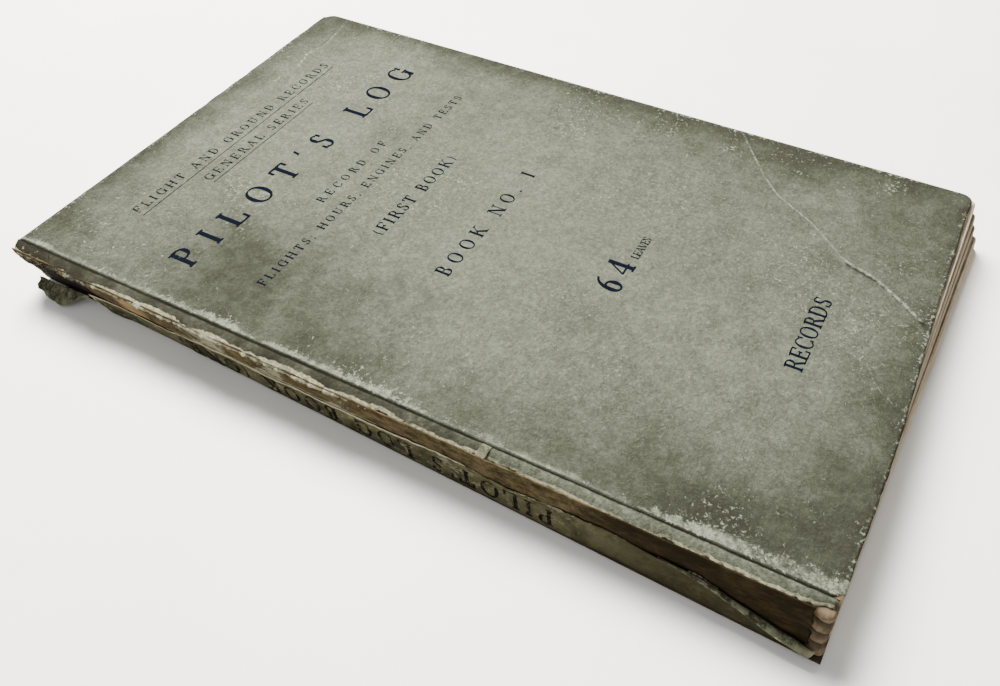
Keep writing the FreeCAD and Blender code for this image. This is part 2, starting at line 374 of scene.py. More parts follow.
# Thicknesses of papers and cloth, in millimetres.
STRIP_THICK = 0.34
TAB_THICK = 0.14
CREASE_THICK = 0.08
LINING_THICK = 0.40
LABEL_THICK = 0.13
WEAVE_THICK = 0.14


def grey_paper(finish, clean=CLEAN_GREY, deep=DEEP_GREY):
    """Felted grey-green paper: broad cloudiness, mottle and short fibres."""
    cloud = finish.between(finish.noise(30, 5, 0.6), 0.36, 0.64)
    mottle = finish.between(finish.noise(300, 8, 0.78), 0.36, 0.66)
    fibre = finish.between(finish.noise(1300, 5, 0.8), 0.36, 0.68)
    pits = finish.between(finish.noise(760, 4, 0.7), 0.42, 0.60)
    colour = finish.mixed(finish.scaled(cloud, 0.34), clean, deep)
    colour = finish.coat(colour, deep, mottle, 0.55)
    colour = finish.coat(colour, deep, pits, 0.45)
    colour = finish.coat(colour, RUBBED, fibre, 0.30)
    return colour, mottle, fibre


def cover_finish():
    """Cover paper, with soil, rubbed bands, creases and specks where the marks say; a painted highlight along
    the crease ridges, partly rubbed wear, and painted shade in the furrows beside them and at the edge by the
    groove.
    """
    finish = Finish("soiled_cover_paper", 0.9, 0.02)
    colour, mottle, fibre = grey_paper(finish)
    patch = finish.noise(75, 7, 0.66)
    soil = finish.total(finish.mark("soil"), patch, 1.1)
    soiled = finish.between(soil, 0.42, 1.55)
    colour = finish.coat(colour, SOILED, soiled, 0.88)
    flaking = finish.noise(520, 9, 0.80)
    rub = finish.total(finish.mark("rub"), flaking)
    rubbed = finish.between(rub, 0.93, 1.24)
    patchy = finish.between(finish.noise(850, 6, 0.8), 0.38, 0.62)
    patchy = finish.total(finish.scaled(patchy, 0.45), 0.42)
    colour = finish.coat(colour, RUBBED, rubbed, patchy)
    clusters = finish.total(finish.noise(38, 4, 0.6), finish.mark("rub"), 0.42)
    flecks = finish.total(finish.noise(1050, 5, 0.75, distortion=0.5), clusters, 0.42)
    fleck = finish.between(flecks, 0.838, 0.92)
    colour = finish.coat(colour, RUBBED, fleck, 0.78)
    specks = finish.between(finish.noise(800, 3, 0.6), 0.70, 0.75)
    colour = finish.coat(colour, SOILED, specks, 0.55)
    # Painted highlight along each crease ridge, partly rubbed wear: the pale rubbed colour laid thin, broken
    # by the flaking pattern.
    crease = finish.between(finish.mark("crease"), 0.30, 0.95)
    worn_ridge_highlight = finish.scaled(crease, finish.between(flaking, 0.42, 0.58))
    colour = finish.coat(colour, RUBBED, worn_ridge_highlight, 0.72)
    # Painted shade in the furrow beside each crease and at the cover's edge by the groove.
    furrow_shade = finish.between(finish.mark("furrow_shade"), 0.25, 0.9)
    colour = finish.coat(colour, FURROW_SHADE, furrow_shade, 0.75)
    edge = finish.total(finish.mark("edge"), flaking, 0.5)
    worn = finish.between(edge, 0.98, 1.20)
    colour = finish.coat(colour, BOARD_EDGE, worn, 0.88)
    relief = finish.total(finish.scaled(mottle, 0.5), fibre)
    relief = finish.total(relief, rubbed, -0.8)
    return finish.done(colour, relief, 0.00022, 0.9)


def strip_finish():
    """Hinge strip paper: grey-green, browner towards the head, cream where it is torn, dark at its cracks
    near the head, and darkened along the groove as painted shade.
    """
    finish = Finish("hinge_strip_paper", 0.9, 0.02)
    colour, mottle, _ = grey_paper(finish, STRIP_GREY, STRIP_DEEP)
    patch = finish.noise(130, 7, 0.72)
    soil = finish.total(finish.mark("soil"), patch)
    colour = finish.coat(colour, SOILED, finish.between(soil, 0.50, 1.20))
    streak = finish.noise(560, 8, 0.80, finish.stretched((1, 0.45, 1)))
    torn = finish.where("torn", streak, 0.98, 1.16)
    speckle = finish.between(finish.noise(1000, 5, 0.75), 0.40, 0.62)
    torn = finish.scaled(torn, finish.total(finish.scaled(speckle, -0.45), 0.92))
    colour = finish.coat(colour, PAPER_CREAM, torn)
    # Painted shade along the groove, where the cover's edge stands above the strip, and the strip's real dark
    # cracks near the head.
    dark = finish.where("groove", streak, 1.00, 1.30)
    colour = finish.coat(colour, GROOVE_SHADE_AND_CRACKS, dark)
    relief = finish.total(mottle, torn, 1.4)
    return finish.done(colour, relief, 0.00025, 0.85)


def lining_finish():
    """Glue-stained brown lining: dark brown, tan where the face has pulled away, with painted shade in its
    gaps and hollows.
    """
    finish = Finish("brown_spine_lining", 0.9, 0.03)
    long_grain = finish.noise(420, 9, 0.78, finish.stretched((1, 0.30, 1)))
    blotch = finish.noise(80, 7, 0.72, finish.stretched((1, 0.6, 1)))
    colour = finish.mixed(finish.between(long_grain, 0.42, 0.75), LINING_BROWN, LINING_STREAK)
    ochre = finish.total(finish.mark("ochre"), blotch, 0.9)
    ochre = finish.between(finish.total(ochre, long_grain, 0.4), 0.85, 1.35)
    speckle = finish.between(finish.noise(620, 9, 0.84, finish.stretched((1, 0.4, 1))), 0.36, 0.66)
    colour = finish.coat(colour, LINING_OCHRE, ochre, speckle)
    tan = finish.total(finish.mark("tan"), long_grain, 0.9)
    colour = finish.coat(colour, LINING_TAN, finish.between(tan, 1.05, 1.45))
    flakes = finish.noise(430, 9, 0.84, finish.stretched((1, 0.6, 1)))
    cream = finish.total(finish.mark("cream"), flakes)
    flaked = finish.between(cream, 1.00, 1.12)
    flaked = finish.scaled(flaked, finish.total(finish.scaled(speckle, -0.55), 0.92))
    colour = finish.coat(colour, PAPER_CREAM, flaked)
    # Painted shade: under the spine paper's lifted edge, in the hollow at the head where the paper is gone,
    # and at the lining's tail end.
    painted_gap_shade = finish.where("painted_gap_shade", blotch, 1.1, 1.35)
    colour = finish.coat(colour, GAP_SHADE_DARK, painted_gap_shade)
    relief = finish.total(long_grain, flaked)
    return finish.done(colour, relief, 0.0004, 0.9)


def spine_paper_finish():
    """Spine paper, olive and rubbed, with cream along its torn edges."""
    finish = Finish("worn_spine_paper", 0.9, 0.02)
    mottle = finish.noise(420, 8, 0.76, finish.stretched((1, 0.7, 1)))
    broad = finish.noise(90, 6, 0.66)
    colour = finish.mixed(finish.between(broad, 0.38, 0.62), SPINE_OLIVE, SPINE_DARK)
    colour = finish.coat(colour, SPINE_PALE, finish.between(mottle, 0.50, 0.66))
    stain = finish.between(finish.noise(150, 8, 0.72), 0.55, 0.64)
    colour = finish.coat(colour, SPINE_STAIN, stain, 0.75)
    torn = finish.where("torn", mottle, 1.00, 1.15)
    colour = finish.coat(colour, PAPER_CREAM, torn)
    # Darker towards the tail and along the paper's foot, from the soil mark.
    soil = finish.where("soil", mottle, 0.75, 1.25)
    colour = finish.coat(colour, SPINE_DARKER, soil, 0.85)
    return finish.done(colour, mottle, 0.0003, 0.8)


def peeled_finish():
    """The back and edges of peeled spine paper: a paler olive than the spine paper, painted light for the
    lifted flap, scroll and tab; rubbed, and cream at its edges.
    """
    finish = Finish("lit_peeled_spine_paper", 0.9, 0.02)
    mottle = finish.noise(380, 8, 0.78)
    # Painted light: the paler olive stands in for the light that falls on the lifted pieces.
    colour = finish.mixed(finish.between(mottle, 0.40, 0.60), LIT_PEELED_OLIVE, SPINE_DARK)
    torn = finish.where("torn", mottle, 0.96, 1.16)
    colour = finish.coat(colour, PAPER_CREAM, torn, 0.75)
    return finish.done(colour, mottle, 0.0003, 0.9)


def leaf_finish():
    """Book paper: cream, toned brown at its edges and folds, with faint foxing."""
    finish = Finish("toned_book_paper", 0.95, 0.03)
    sheet_lines = finish.noise(1500, 5, 0.75, finish.stretched((0.03, 0.03, 2.0)))
    patches = finish.scaled(finish.noise(120, 6, 0.65), 0.7)
    tone = finish.total(finish.mark("tone"), patches)
    fold = finish.where("fold", patches, 0.5, 1.0, 0.5)
    colour = finish.mixed(finish.between(sheet_lines, 0.38, 0.64), CREAM_PALE, CREAM)
    colour = finish.coat(colour, TONED, finish.between(tone, 0.60, 1.50))
    foxing = finish.between(finish.noise(150, 3, 0.5), 0.68, 0.76)
    colour = finish.coat(colour, TONED, foxing, 0.4)
    furred = finish.noise(700, 7, 0.8)
    fold_colour = finish.mixed(finish.between(furred, 0.40, 0.62), FOLD_TAN, TONED)
    colour = finish.coat(colour, fold_colour, fold)
    return finish.done(colour, furred, 0.00016, 0.7)


def plain_paper_finish(name, light, dark, scale=70.0):
    """Plain paper or card: a cloudy tone, brown foxing and a fine grain."""
    finish = Finish(name, 0.9, 0.05)
    cloud = finish.noise(scale, 6, 0.6)
    colour = finish.mixed(finish.between(cloud, 0.30, 0.72), light, dark)
    foxing = finish.between(finish.noise(scale * 2.4, 3, 0.5), 0.68, 0.76)
    colour = finish.coat(colour, TONED, foxing, 0.45)
    return finish.done(colour, finish.noise(1800, 4, 0.7), 0.00006, 0.5)


def woven_finish(name, light, dark, threads):
    """Plain weave: two crossed sets of waves, threads to the metre, multiplied."""
    finish = Finish(name, 0.95, 0.05)
    waves = []
    for direction in ("Y", "Z"):
        wave = finish.add("ShaderNodeTexWave")
        wave.bands_direction = direction
        wave.inputs["Scale"].default_value = threads / 20
        wave.inputs["Distortion"].default_value = 0.6
        wave.inputs["Detail"].default_value = 1.0
        finish.tree.links.new(finish.coordinates, wave.inputs["Vector"])
        waves.append(wave.outputs["Fac"])
    weave = finish.scaled(waves[0], waves[1])
    tone = finish.total(weave, finish.noise(300, 4, 0.6), 0.5)
    colour = finish.mixed(finish.between(tone, 0.1, 1.0), dark, light)
    return finish.done(colour, weave, 0.0001, 0.8)


def ink_finish(name, wear, ink=INK):
    """Printing ink, with the paper showing through where it has rubbed away."""
    finish = Finish(name, 1.0, 0.0)
    rubbed = finish.between(finish.noise(620, 7, 0.78), wear, wear + 0.14)
    scratches = finish.between(finish.noise(160, 5, 0.7), 0.64, 0.72)
    lost = finish.maths("MAXIMUM", rubbed, finish.scaled(scratches, 0.5))
    colour = finish.mixed(finish.scaled(lost, 0.8), ink, SHOWING_THROUGH)
    return finish.done(colour, finish.noise(1500, 3, 0.6), 0.00004, 0.4)


# ---- front cover ----

# Creases in the cover: height, half width, and corners across and along.
CREASES = (
    (0.30, 1.15, ((81.6, 2.5), (86, 8), (91.5, 15.5), (94.5, 24))),
    (0.16, 0.70, ((94.5, 24), (101, 31), (106, 36.5), (112.5, 47), (119, 53), (129, 60), (137.6, 66))),
    (0.08, 0.55, ((52, 2), (56, 7), (62, 10.5), (71, 11), (80, 13))),
    (0.05, 0.50, ((79.5, 76), (80, 60), (80.6, 40), (80, 24), (80.5, 13))),
    (0.09, 0.55, ((95, 15), (101, 11), (104.5, 7), (106, 3))),
    (0.06, 0.45, ((112, 47), (116, 38), (124, 33), (131, 22))),
    (0.05, 0.45, ((88, 205), (92, 184.5), (100, 178))),
    (0.06, 0.45, ((20, 66), (24, 52), (33, 47))),
)
# Rubbed places: across, along and size.
RUB_SPOTS = (
    (7, 196, 6.0), (12, 187, 4.0), (20, 186, 2.0), (5, 176, 3.0), (16, 201, 2.5),
    (115, 44, 2.5), (123, 31, 3.0), (110, 58, 3.0), (46, 172, 1.6), (28, 150, 1.5),
    (60, 133, 1.6), (21, 92, 2.0), (34, 98, 1.5), (127, 66, 3.5), (130, 20, 4.0),
    (118, 12, 3.5), (127, 84, 2.5), (121, 92, 2.0), (10, 158, 2.0), (124, 158, 1.6),
    (72, 186, 2.0), (66, 190, 2.5), (24, 28, 3.0), (40, 15, 3.0), (30, 40, 2.5),
)
SCRAPE = ((94, 205.5), (104, 204.5), (112, 206.5), (121, 205), (137, 208))
# Dirty places, then cleaner ones: across, along, reach across, reach along, and how dirty.
SOIL_SPOTS = (
    (4, 28, 20, 26, 0.52), (22, 158, 22, 22, 0.55), (8, 205, 20, 10, 0.16), (133, 45, 14, 40, 0.34),
    (6, 8, 26, 14, 0.24), (108, 20, 28, 14, 0.22), (60, 4, 50, 10, 0.30), (136, 120, 12, 60, 0.34),
    (6, 110, 12, 55, 0.34), (60, 213, 80, 7, 0.22), (30, 118, 16, 20, 0.22), (95, 60, 22, 16, 0.12),
    (128, 205, 16, 12, 0.25), (84, 150, 9, 14, 0.16), (130, 6, 22, 12, 0.26), (134, 178, 10, 22, 0.20),
    (68, 120, 38, 36, -0.42), (84, 178, 40, 22, -0.32), (26, 202, 18, 14, -0.14),
    (60, 92, 30, 26, -0.14), (66, 60, 24, 22, -0.10),
)


def cover_relief(across, along):
    """Height of the cover's face over its flat, in millimetres.

    Two undulations for the cockled paper, plus for each crease a ridge that falls off
    as exp(-(d/w)^2) and a shallow trough beside it.
    """
    relief = 0.05 * undulation(across, along, 38, 5) + 0.025 * undulation(across, along, 13, 6)
    for height, width, corners in CREASES:
        distance = line_distance(across, along, corners)
        relief = relief + height * bell(distance, width)
        relief = relief - 0.35 * height * bell(distance - 2.2 * width, width)
    return relief


def cover_outline(share, along):
    """Distance across of a share of the cover's width, with worn round fore corners."""
    corner = 3.6
    over = np.maximum(np.abs(along - HEIGHT / 2) - (HEIGHT / 2 - corner), 0)
    rounded = corner - np.sqrt(np.maximum(corner ** 2 - over ** 2, 0))
    fore = WIDTH - rounded - 0.10 - 0.14 * ragged(along, 5, 31)
    near = 0.04 + 0.05 * ragged(along, 4, 35) + 1.2 * (1 - ease(along, 0.2, 1.6)) ** 2
    return near + (fore - near) * share


def front_cover_skin(material):
    """Cover paper as a fine grid: flat, plus its relief, rolled down at its edges."""
    share, step = unit_grid(215, 335)
    share = share ** 0.94
    out = share * WIDTH
    tail = 0.05 - 1.2 * bell(out - 40, 40) + 0.14 * ragged(out, 6, 41)
    head = HEIGHT - 0.10 + 1.0 * (out / WIDTH) ** 2 + 0.16 * ragged(out, 5, 43)
    along = tail + (head - tail) * step
    across = cover_outline(share, np.clip(along, 0.2, HEIGHT - 0.2))
    beside = np.minimum(along - tail, head - along)
    border = np.minimum(beside, WIDTH - across)
    roll = 0.17 * np.exp(-border / 0.45) + 0.07 * np.exp(-across / 0.30)
    top = THICKNESS + cover_relief(across, along) - roll
    under = np.minimum(THICKNESS - PAPER, top - 0.05)
    top = np.maximum(top, THICKNESS - PAPER + 0.012)
    outer = place(across, along, top, THICKNESS)
    inner = place(across, along, under, THICKNESS)
    return sheet_piece("front_cover_skin", outer, inner, material, cover_marks(across, along, border))


def cover_marks(across, along, border):
    """Where the cover is soiled, rubbed, creased or worn through, and where its crease ridges get a painted
    highlight and its furrows and groove edge get painted shade.
    """
    soil = 0.16 + 0.10 * undulation(across, along, 30, 51) + 0.07 * undulation(across, along, 12, 52)
    for x, y, wide, tall, much in SOIL_SPOTS:
        soil = soil + much * np.exp(-((across - x) / wide) ** 2 - ((along - y) / tall) ** 2)
    soil = soil + 0.45 * np.exp(-border / 3.5)
    fingers = 0.9 + 1.1 * ragged(along, 4, 61) + 0.7 * ragged(along, 1.2, 64)
    reach = 1.7 + fingers + 3.4 * ease(45 - along, 0, 42)
    band = ease(across, 0.30, 0.75) * (1 - ease(across, reach * 0.45, reach + 1.6))
    rub = 0.70 * band * (0.88 + 0.16 * wander(along, 17, 67))
    rub = np.maximum(rub, 0.48 * bell(border - 0.6, 0.9))
    rub = np.maximum(rub, 0.55 * bell(line_distance(across, along, SCRAPE), 0.8))
    for x, y, size in RUB_SPOTS:
        distance = np.hypot((across - x), (along - y) * 1.3)
        rub = np.maximum(rub, 0.40 * bell(distance, size))
    crease = np.zeros_like(across)
    furrow_shade = np.zeros_like(across)
    for height, width, corners in CREASES:
        distance = line_distance(across, along, corners)
        crease = np.maximum(crease, min(1.0, 0.50 + 3 * height) * bell(distance, 0.5 * width))
        # Painted shade: a dark line beside each crease ridge, away from its highlight.
        beyond = line_distance(across, along, [(x - 0.9 * width, y - 0.9 * width) for x, y in corners])
        shade = min(1.0, 3.2 * height + 0.1) * bell(beyond, 0.6 * width)
        furrow_shade = np.maximum(furrow_shade, shade * (distance > 0.4 * width))
    corner = np.hypot(WIDTH - across, np.minimum(along, HEIGHT - along))
    edge = np.maximum(0.72 * np.exp(-border / 0.40), 0.80 * bell(corner, 2.6))
    # Painted shade at the edge by the groove, where the cover steps down to the strip.
    furrow_shade = np.maximum(furrow_shade, 0.95 * (1 - ease(across, 0.10, 0.42)))
    return {"soil": soil, "rub": rub, "crease": crease, "furrow_shade": furrow_shade, "edge": edge}


# ---- spine ----

def spine_grid(depth, along, height):
    """Places on the spine: depth inwards from its outer face."""
    return place(-(SPINE - depth), along, height)


def spine_rows(tail, head, low, high, rows, columns):
    """Grids of height and along for a strip on the spine; either edge may vary along it."""
    step, share = unit_grid(rows, columns)
    along = tail + (head - tail) * share
    low = low(along) if callable(low) else low
    high = high(along) if callable(high) else high
    height = low + (high - low) * step
    return step, along, height


def bend_over_spine(piece):
    """Bake a piece's placement into its points; the piece is not bent."""
    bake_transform(piece)


def front_hinge_paper(material):
    """Strip from the groove over the shoulder of the spine, ending in a torn edge.

    Across it the face falls by the square of the distance, and bulges by a half sine.
    """
    rows, columns = 24, 640
    step = np.linspace(0, 1, rows)[:, None]
    along = np.linspace(0.5, HEIGHT + 0.2, columns)[None, :]
    step, along = np.broadcast_arrays(step, along)
    reach = 3.05 + 0.40 * ragged(along, 3.4, 71) + 0.30 * ragged(along, 0.9, 77)
    reach = reach - 1.3 * (1 - ease(along, 0.5, 9)) ** 1.5
    reach = reach + 0.9 * ease(along, 100, 125) + 0.6 * ease(along, 182, 195)
    reach = reach - 0.9 * ease(along, 195, 198.5)
    corner = np.clip((along - (HEIGHT - 3.4)) / 3.6, 0, 1)
    reach = reach - 2.4 * (1 - np.sqrt(1 - corner ** 2))
    across = -(0.04 + (reach - 0.04) * step)
    fall = 0.05 + 0.10 * ease(step, 0, 0.1) + 0.85 * step ** 2 - 0.18 * np.sin(math.pi * step)
    cockle = 0.05 * undulation(across, along, 5, 73)
    top = THICKNESS - fall + cockle + 0.03 * undulation(across, along, 1.6, 74)
    outer = place(across, along, top, THICKNESS)
    inner = place(across, along, top - STRIP_THICK, THICKNESS)
    torn = ease(step, 0.50, 0.92) * (0.64 + 0.18 * wander(along, 9, 75))
    flaked = 0.46 * ease(along, 84, 120) * (1 - ease(along, 196, 203))
    torn = torn + flaked * (0.6 + 0.8 * undulation(across, along, 7, 76)) * ease(step, 0.2, 0.7)
    patch = np.exp(-(np.hypot(across + 0.6, along - 210.5) / 2.5 - 1) ** 2 / 0.05)
    torn = np.maximum(torn, 0.50 * patch)
    torn = torn - 0.25 * ease(along, 192, 197) * (1 - ease(along, 199, 204)) * (step > 0.5)
    # The groove mark paints shade along the foot of the strip; the cracks near the head are real dark lines
    # in the paper.
    groove = 0.80 * bell(step, 0.11) + 0.25 * ease(along, 60, 100) * bell(step, 0.3)
    cracks = np.minimum(line_distance(across, along, ((-0.3, 205), (-1.6, 203.6), (-3.2, 202))),
                        line_distance(across, along, ((0, 214), (-0.8, 211), (-0.6, 206))))
    groove = np.maximum(groove, 0.85 * bell(cracks, 0.28))
    soil = 0.16 + 0.34 * ease(along, 55, 100) + 0.16 * ease(along, 180, 212)
    marks = {"torn": torn, "groove": groove, "soil": soil}
    return turned_sheet("front_hinge_paper", outer, inner, material, marks)


def peeled_tab(material):
    """Small lifted tab of paper that lies over the strip, a little proud of it."""
    step, share = unit_grid(16, 12)
    along = 73.9 + 2.3 * share + 0.15 * ragged(step * 4, 1.2, 121) + 0.5 * step
    across = -(0.15 + 3.15 * step + 0.2 * ragged(share * 3, 1.0, 123) * step)
    top = THICKNESS + 0.06 - 0.62 * step ** 2 + 0.16 * np.sin(math.pi * step)
    outer = place(across, along, top, THICKNESS)[:, ::-1]
    inner = place(across, along, top - TAB_THICK, THICKNESS)[:, ::-1]
    return sheet_piece("peeled_tab", outer, inner, material, {"torn": 0.34 + 0.2 * step})


def groove_crease(material):
    """Thin paper in the bottom of the groove, which joins the strip and the cover; its marks paint it dark as
    the groove's shade.
    """
    share = np.linspace(-1, 1, 9)[:, None]
    along = np.linspace(0.9, HEIGHT - 0.6, 120)[None, :]
    share, along = np.broadcast_arrays(share, along)
    top = THICKNESS - 0.17 - 0.08 * (1 - share ** 2)
    outer = place(share * 0.5, along, top, THICKNESS)
    inner = place(share * 0.5, along, top - CREASE_THICK, THICKNESS)
    # The groove and soil marks paint this sheet dark as the shade at the bottom of the groove.
    marks = {"torn": 0 * share, "groove": 0 * share + 0.9, "soil": 0 * share + 0.6}
    return sheet_piece("groove_crease", outer, inner, material, marks)


def lining_piece(material):
    """Brown lining over the folds: a strip with a shallow hollow and a cockled face.

    Under the spine paper, below the paper's torn edge, it lies deeper.
    """
    low, high = 0.9, THICKNESS - 0.60
    step, along, height = spine_rows(3.2, HEIGHT - 0.4, low, high, 44, 520)
    along = along + 0.6 * ragged(height, 1.5, 85) * (1 - ease(along, 3.2, 8))
    hollow = 0.30 * np.sin(math.pi * step) * ease(60 - along, 0, 40)
    covered = 1 - ease(height, torn_top(along) - 0.9, torn_top(along) - 0.1)
    gone = ease(along, PAPER_END - 8, PAPER_END)
    face = 0.10 + hollow + 0.10 * undulation(along, height, 7, 81)
    face = face + 0.07 * undulation(along, height, 1.6, 82) + 0.34 * covered + 0.15 * gone * covered
    face = face + 0.25 * ease(step, 0.88, 1) - 0.12 * ease(along, 62, 90) * ease(step, 0.5, 0.7)
    outer = spine_grid(face, along, height)
    inner = spine_grid(face + LINING_THICK, along, height)
    up = ease(height, torn_top(along) - 0.4, torn_top(along) + 0.3)
    worn = ease(along, 88, 112) * (1 - 0.9 * ease(along, 196, 204))
    cream = 0.50 * worn * up + 0.16 * undulation(along, height, 9, 83) * worn
    cream = cream + 0.42 * bell(height - torn_top(along) - 0.15, 0.25) * ease(along, 40, 70)
    patches = bell(along - 176, 8)
    tan = 0.95 * patches * up * ease(high - height, 0.2, 1.2)
    cream = cream - 0.6 * patches * up
    ochre = 0.85 * ease(along, 26, 66) * up
    # Painted shadow just above the spine paper's torn edge, cast by its lifted edge, and painted shade in the
    # hollow at the head.
    torn_edge_shadow = 0.85 * bell(height - torn_top(along) - 0.45, 0.22) * ease(along, 40, 60)
    shaded_hollow = ease(along, 187, 194) * (1 - ease(height, THICKNESS - 4.4, THICKNESS - 3.5))
    painted_gap_shade = np.maximum(torn_edge_shadow * (0.5 + 0.8 * wander(along, 11, 86)), 1.5 * np.maximum(gone * covered, shaded_hollow))
    cream = cream - 0.6 * shaded_hollow
    # Painted shadow at the lining's curled tail end.
    painted_gap_shade = np.maximum(painted_gap_shade, 0.8 * np.exp(-(along - 3.2) / 0.6))
    marks = {"cream": cream, "tan": tan, "painted_gap_shade": painted_gap_shade, "ochre": ochre}
    return turned_sheet("brown_lining", outer, inner, material, marks)


PAPER_END = 192


def torn_top(along):
    """Height of the spine paper's torn upper edge: a slant at the tail, then wandering."""
    line = np.interp(along, (0, 12, 26, 38, 47, 58, 68, 87, 108, 145, 185),
                     (3.5, 5.8, 9.2, 9.5, 10.2, 9.9, 8.9, 9.9, 9.1, 8.5, 7.9))
    return line + 0.30 * ragged(along, 6, 91) * ease(along, 20, 40)


def spine_paper_piece(material):
    """Spine paper: it hugs the lining below, and lifts a little along its torn edge."""
    step, along, height = spine_rows(2.6, PAPER_END, 0.12, torn_top, 40, 520)
    finish_line = PAPER_END - 7 * (1 - step) ** 2 + 0.8 * ragged(height, 2.0, 97)
    along = np.where(along > 120, 120 + (along - 120) * (finish_line - 120) / (PAPER_END - 120), along)
    lift = 0.32 * ease(step, 0.80, 1.0) * (0.6 + 0.5 * wander(along, 9, 95))
    lift = lift + 1.1 * ease(along, PAPER_END - 12, PAPER_END) * (1 - 0.6 * step)
    round_off = 0.65 * (1 - step) ** 7
    face = -0.02 - lift + round_off + 0.06 * undulation(along, height, 6, 96)
    face = face + 0.045 * undulation(along, height, 1.5, 98)
    outer = spine_grid(face, along, height)
    inner = spine_grid(face + LABEL_THICK, along, height)
    torn = 0.52 * ease(step, 0.88, 1.0) + 0.22 * (1 - ease(step, 0.0, 0.10))
    torn = torn + 0.5 * ease(along, finish_line - 1.0, finish_line)
    torn = torn + 0.31 * ease(along, 70, 100)
    # Darker towards the tail and along the paper's foot.
    soil = 0.62 * ease(75 - along, 0, 45) + 0.30 * (1 - ease(step, 0.0, 0.3))
    marks = {"torn": torn, "soil": soil}
    return turned_sheet("torn_spine_paper", outer, inner, material, marks)


def rolled_edge(material):
    """The spine paper's slanting torn edge, rolled outwards into a loose scroll.

    Round a line that follows the tear, the radius grows evenly with the angle; the
    scroll gets thicker towards the tail, where it closes in a round end.
    """
    turns = np.linspace(0, 2 * math.pi * 1.35, 40)[:, None]
    along = 1.5 + 33 * np.linspace(0, 1, 90)[None, :] ** 1.4
    turns, along = np.broadcast_arrays(turns, along)
    thick = 0.50 + 0.47 * ease(24 - along, 0, 20)
    closing = np.sqrt(np.clip(1 - (1 - np.clip((along - 1.5) / 1.5, 0, 1)) ** 2, 0.01, 1))
    closing = closing * np.sqrt(np.clip((34.8 - along) / 9, 0.01, 1))
    thick = thick * closing
    radius = thick * (0.50 + 0.50 * turns / turns.max())
    radius = radius + 0.07 * closing * undulation(along, turns, 1.7, 101)
    radius = radius + 0.05 * closing * undulation(along * 0.35, turns * 1.4, 0.9, 102)
    centre_height = torn_top(along) - 0.55 * thick - 0.35 + 0.45 * (1 - closing)
    depth = 0.15 - 0.95 * thick
    outer = spine_grid(depth - radius * np.cos(turns), along, centre_height + radius * np.sin(turns))
    inner_radius = radius - 0.16 * closing
    inner = spine_grid(depth - inner_radius * np.cos(turns), along,
                       centre_height + inner_radius * np.sin(turns))
    torn = 0.30 + 0.22 * undulation(along, 2 * turns, 3.6, 103) + 0.18 * np.exp(-(along - 1.5) / 2.0)
    marks = {"torn": torn}
    return sheet_piece("rolled_paper_edge", outer, inner, material, marks)


def torn_flap(material):
    """Tongue of spine paper that bends away from the spine, frayed at its end.

    Its top edge follows the hinge line, and it leans out by the flap's own angle,
    curling back by the square of the distance; it is widest a little before its middle.
    """
    root = np.array(JOINTS["flap_hinge"]["pos_m"]) / MM
    low, high = (np.array(corner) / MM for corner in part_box("torn_spine_flap"))
    axis = -np.array(JOINTS["flap_hinge"]["axis"])
    length = high[1] - low[1]
    drop = root[2] - low[2]
    out = root[0] - low[0]
    step, share = unit_grid(26, 90)
    width = 0.10 + 0.74 * ease(share, 0.05, 0.42) - 0.30 * ease(share, 0.60, 0.98)
    frayed = width * (1 + 0.07 * ragged(share * length, 1.8, 111))
    reach = step * frayed
    top = 1.3 * (1 - ease(share, 0.0, 0.7)) + 0.5
    x = root[0] - 0.2 - (out * 1.25 * reach - 0.5 * reach ** 2) - 0.4 * ease(share, 0.3, 1.0)
    z = root[2] - 1.25 + 0.4 * top - (drop - 0.9) * 0.84 * reach ** 1.1
    tear = (0.9 * ragged(step * 7, 1.4, 113) - 1.2 * np.abs(step - 0.35)) * ease(share, 0.75, 1.0)
    y = root[1] + (share * 1.28 - 0.22) * length * axis[1] + tear
    x = x + share * length * axis[0] + 0.30 * undulation(share * 14, step * 6, 5, 117)
    outer = np.stack([x, y, z], -1) * MM
    inner = np.stack([x + 0.10, y, z - 0.12], -1) * MM
    torn = 0.50 * ease(step, 0.92, 1.0) + 0.6 * ease(share, 0.95, 1.0)
    torn = torn + 0.6 * (1 - ease(share, 0.05, 0.25))
    marks = {"torn": torn, "soil": 0 * torn - 0.15}
    return sheet_piece("torn_flap", inner, outer, material, marks)


def frayed_ends(material):
    """Loose fibres at the head end of the lining: each bends away in a short curve."""
    draw = np.random.default_rng(401)
    sheets = []
    for strand in range(90):
        t = np.linspace(0, 1, 7)[None, :]
        side = np.array([-1, 1])[:, None] * 0.06
        start = draw.uniform(200, HEIGHT - 1.5)
        level = draw.uniform(THICKNESS - 3.4, THICKNESS - 1.0)
        reach = draw.uniform(0.5, 2.0)
        sway = draw.uniform(-1.4, 1.4)
        along = start + sway * t ** 2 + side + 0.5 * t
        depth = 0.25 - 0.8 * t * draw.uniform(0.2, 1.0) + 0 * side
        height = level - reach * t + 0.2 * side
        outer = spine_grid(depth, along, height)[:, ::-1]
        inner = spine_grid(depth + 0.10, along, height)[:, ::-1]
        sheets.append((outer, inner))
    return joined_sheets("frayed_ends", sheets, material)


def spine_weave(name, node, material, depth, tail, head):
    """Cloth or tape that crosses the middle of the spine."""
    low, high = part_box(node)[0].z / MM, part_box(node)[1].z / MM
    _, along, height = spine_rows(tail, head, low, high, 40, 24)
    outer = spine_grid(depth, along, height)
    inner = spine_grid(depth + WEAVE_THICK, along, height)
    piece = turned_sheet(name, outer, inner, material)
    bend_over_spine(piece)
    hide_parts(node)
    return piece


# ---- leaves ----

LEAVES_DEEP = 8


